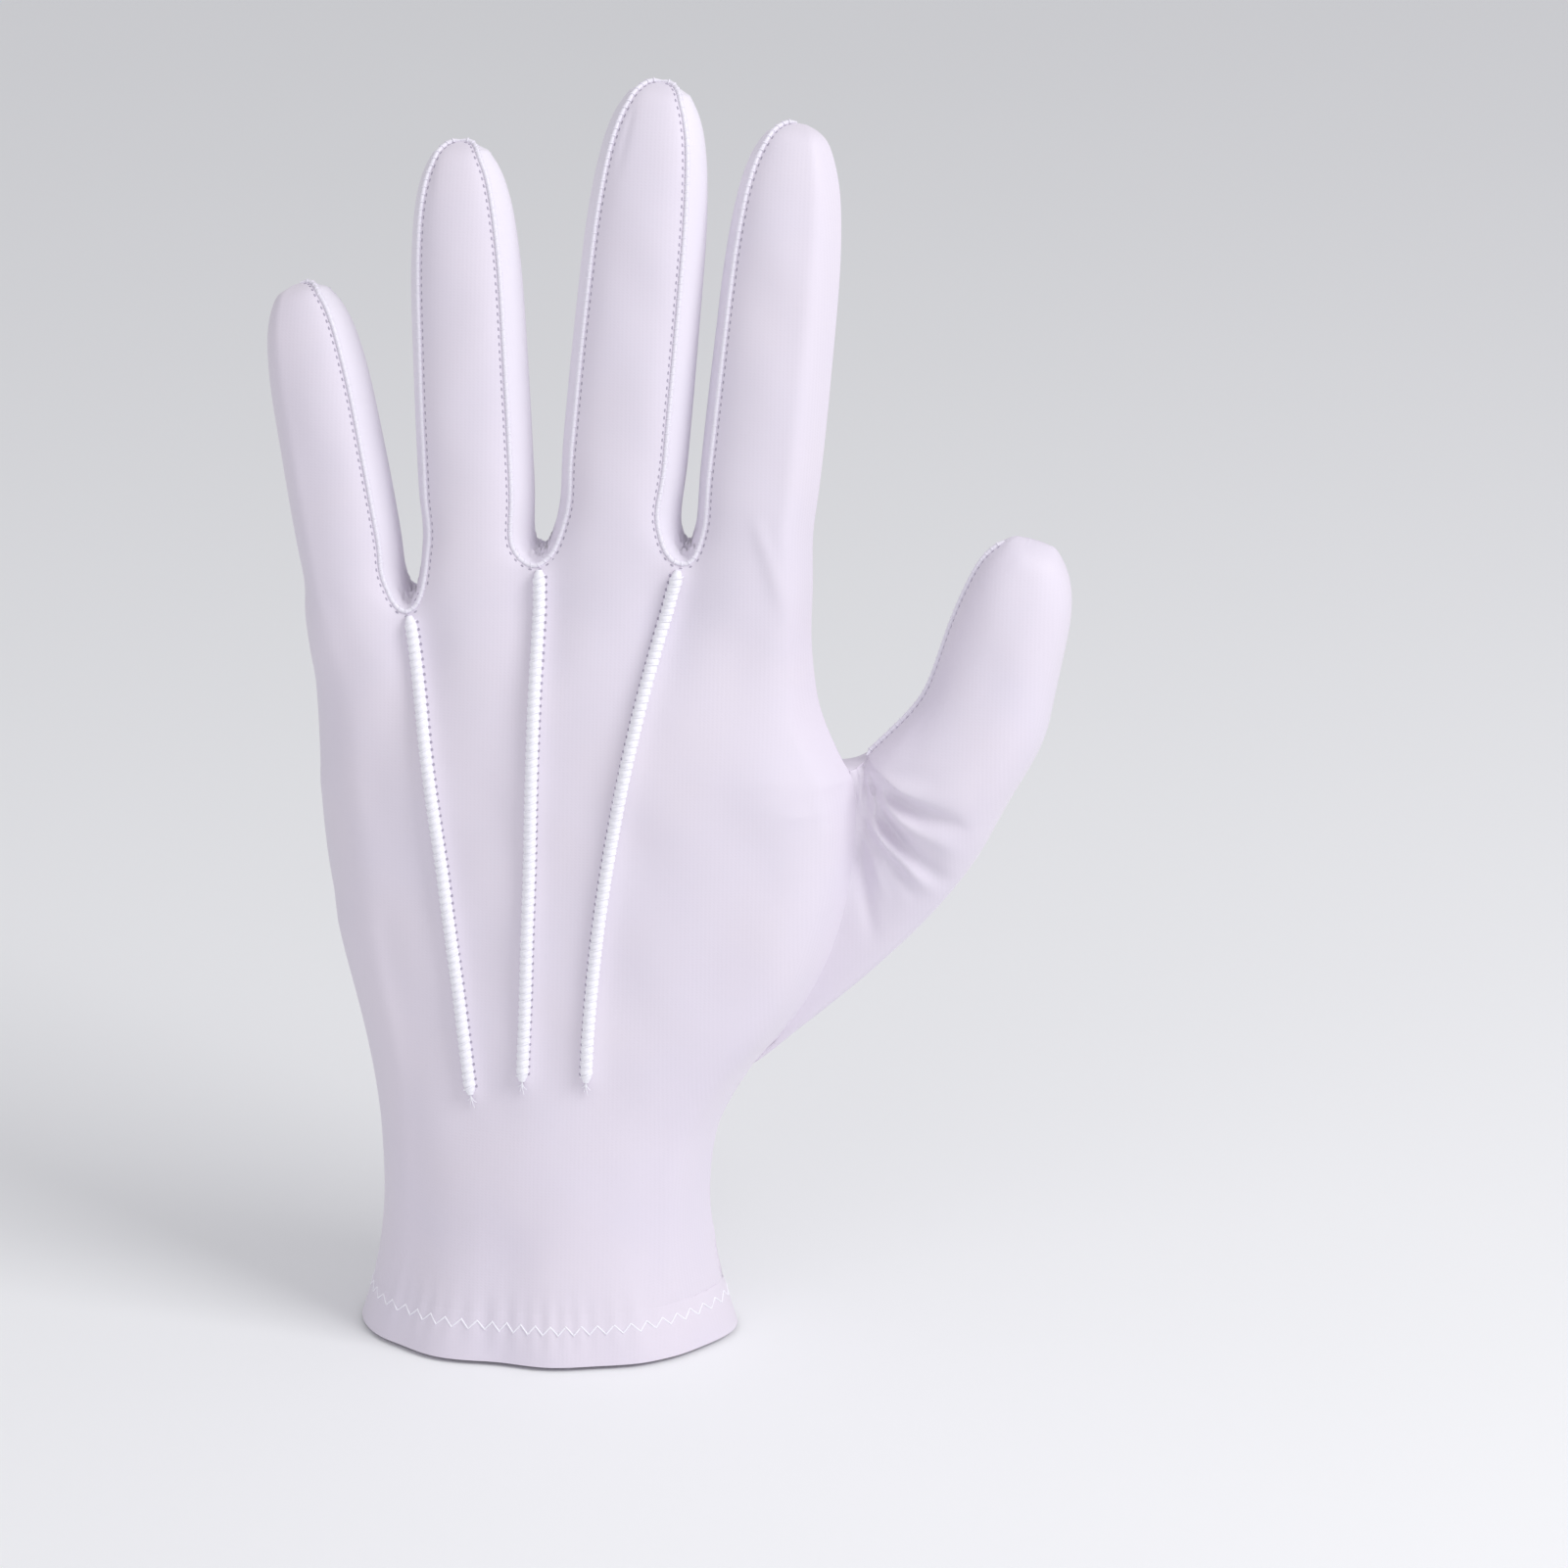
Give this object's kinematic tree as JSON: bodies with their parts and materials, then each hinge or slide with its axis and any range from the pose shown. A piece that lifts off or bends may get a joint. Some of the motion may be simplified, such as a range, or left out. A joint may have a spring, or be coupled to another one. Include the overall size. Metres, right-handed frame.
{
  "type": "dress glove",
  "caption": "Wrist-length dress glove for the left hand, filled out as worn, with fourchettes between the fingers and raised points on the back.",
  "frame": {"origin": "middle of the cuff's opening, level with the hem's lower edge, where a wrist goes in", "axes": "+Z from the hem to the fingertips, +X towards the thumb, +Y towards the palm; the back of the hand faces -Y"},
  "size_m": [0.1377, 0.049, 0.2218],
  "materials": {
    "glove_cloth": "fine smooth stretch knit, white with a faint lavender cast, slight sheen",
    "fourchette_cloth": "the same fine knit, cut across the stretch",
    "overcast_thread": "close overcast stitches in white thread"
  },
  "bodies": {
    "root": {"back_panel": "glove_cloth", "palm_panel": "glove_cloth", "thumb_back": "glove_cloth", "thumb_palm": "glove_cloth", "cuff_hem": "glove_cloth", "fourchette_ring_little": "fourchette_cloth", "fourchette_middle_ring": "fourchette_cloth", "fourchette_index_middle": "fourchette_cloth", "seam_back_ring_little": "overcast_thread", "seam_palm_ring_little": "overcast_thread", "seam_back_middle_ring": "overcast_thread", "seam_palm_middle_ring": "overcast_thread", "seam_back_index_middle": "overcast_thread", "seam_palm_index_middle": "overcast_thread", "seam_thumb": "overcast_thread", "point_ring_little": "overcast_thread", "point_middle_ring": "overcast_thread", "point_index_middle": "overcast_thread"}
  },
  "joints": []
}
